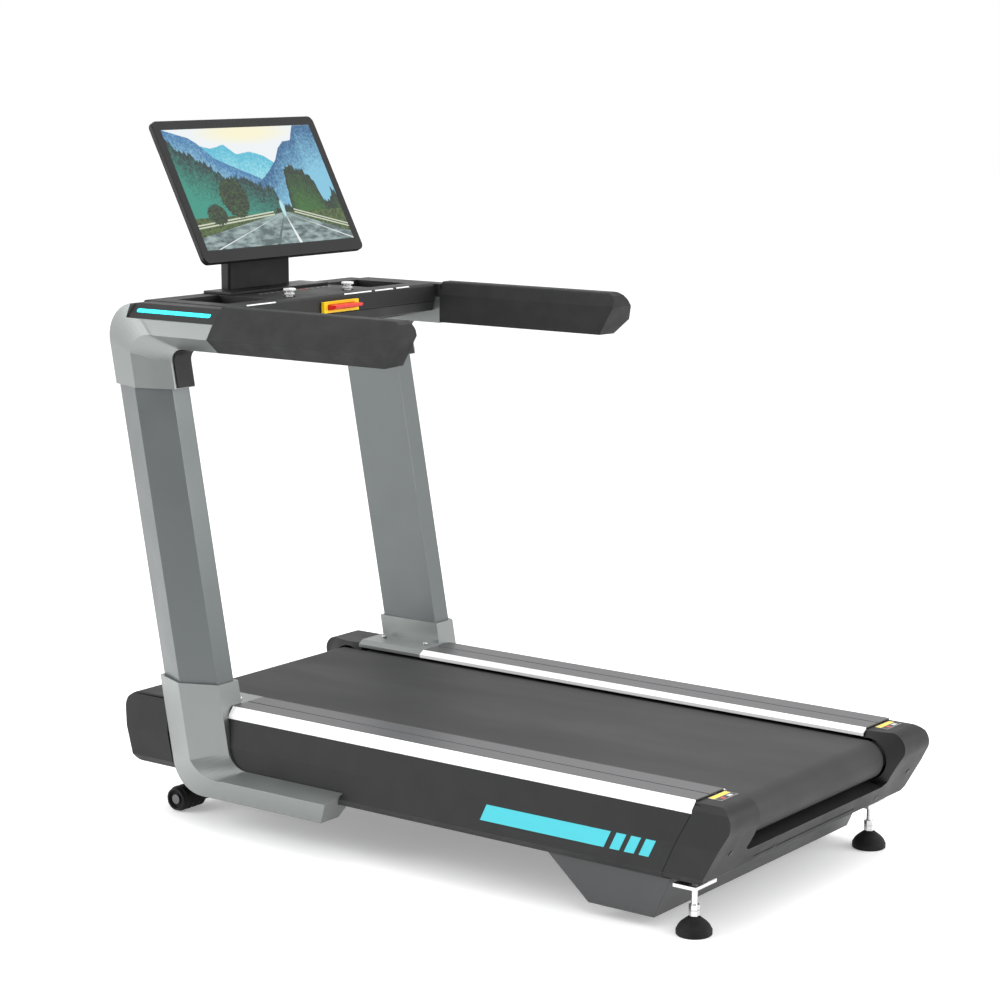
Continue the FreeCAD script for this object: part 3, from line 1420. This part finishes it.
def dish(side, axis_y, top):
    """Flared space between a cap and the belt, rounded where it meets the strip."""
    throat, crest = cover_throat, s.cover_crest_radius
    flare = throat + s.cover_flare
    ring_in = s.belt_width / 10
    solid = turned("x", (axis_y, roller_height), [
        (side * (throat - 2), ring_in / 2), (side * throat, ring_in / 2),
        (side * throat, belt_out_radius), (side * flare, crest),
        (side * (flare + 2), crest * 2), (side * (throat - 2), crest * 2)])
    bend, low = s.cover_corner, strip_top
    wide = flare + 12
    outline = [(0, low), (wide - bend, low)]
    for step in range(1, 6):
        angle = math.pi / 2 * step / 6
        outline.append((wide - bend + bend * round(math.sin(angle), 6),
                        low + bend - bend * round(math.cos(angle), 6)))
    outline += [(wide, low + bend), (wide, top + 60), (0, top + 60)]
    window = prism("y", axis_y - 200, 400, [(side * x, z) for x, z in outline])
    common = doc.addObject("Part::Common", "dish")
    common.Base = solid
    common.Tool = window
    return common


def cap_slot(side, ahead):
    """Room for a frame beam and its roller end where they enter a cap."""
    low, high = mirrored(side, cover_inner - 1, beam_out + 4)
    if ahead < 0:
        y = (rear - s.frame_behind - 4, rear + 130)
    else:
        y = (front + 100, front + flange_length + s.frame_ahead + 4)
    return block((low, high), y, (beam_low - 2, beam_top + 10))


def inlet_space():
    """X and Z extents of the mains inlet plate."""
    return (215, 285), (s.panel_bottom + 9, s.panel_bottom + 35)


def power_entry():
    """Mains inlet and rocker switch in the front strip."""
    y_face = front + flange_length + 86
    x, z = inlet_space()
    plate = block(x, (y_face + 24, y_face + 40), z)
    socket = block((225, 249), (y_face + 28, y_face + 41), (z[0] + 4, z[1] - 4))
    well = block((258, 279), (y_face + 28, y_face + 41), (z[0] + 4, z[1] - 4))
    shell = cut(plate, socket, well)
    pins = [block((228 + step * 7, 230 + step * 7), (y_face + 28, y_face + 37),
                  (z[0] + 10, z[0] + 16)) for step in range(3)]
    group([shell, *pins], "power_inlet")
    middle = z[0] + (z[1] - z[0]) / 2
    rocker = prism("x", 259, 19, [(y_face + 31, middle - 7), (y_face + 42, middle - 7),
                                  (y_face + 39, middle), (y_face + 42, middle + 7),
                                  (y_face + 31, middle + 7)])
    name_node(rocker, "power_rocker")


def build():
    brackets, fixings, inserts, pods = [], [], [], []
    for side, name in SIDES:
        side_rail(side, f"side_rail_{name}")
        side_panel(side, f"side_panel_{name}")
        frame_beam(side, f"frame_beam_{name}")
        brackets.append(levelling_foot(side, name))
        foot_casting(side, f"foot_casting_{name}")
        upright(side, f"upright_{name}")
        fixings += upright_fixings(side)
        upper_bracket(side, f"upper_bracket_{name}")
        insert, pod = bracket_extras(side)
        inserts.append(insert)
        pods.append(pod)
        handgrip(side, f"handgrip_{name}")
    group(fixings, "upright_fixings")
    group(inserts, "bracket_inserts")
    group(pods, "arm_pods")
    cross_tubes()
    deck_board()
    running_belt()
    rear_roller()
    front_roller()
    drive_belt()
    belly_box(motor())
    lift_frame()
    lift_wheels(brackets)
    lift_actuator()
    console()
    neck()
    screen()
    controls()
    rear_cover()
    front_cover()
    power_entry()


def check_model():
    """Stop if any object failed or any node is empty or broken."""
    failed = [item.Name for item in doc.Objects if {"Invalid", "Error"} & set(item.State)]
    broken = [node.Label for node in NODES if node.Shape.isNull() or not node.Shape.isValid()]
    if failed or broken:
        raise RuntimeError(f"failed objects {failed}, broken nodes {broken}")


build()
doc.recompute()
check_model()
os.makedirs("parts", exist_ok=True)
for node in NODES:
    node.Shape.exportStep(f"parts/{node.Label}.step")
print(len(NODES), "nodes")
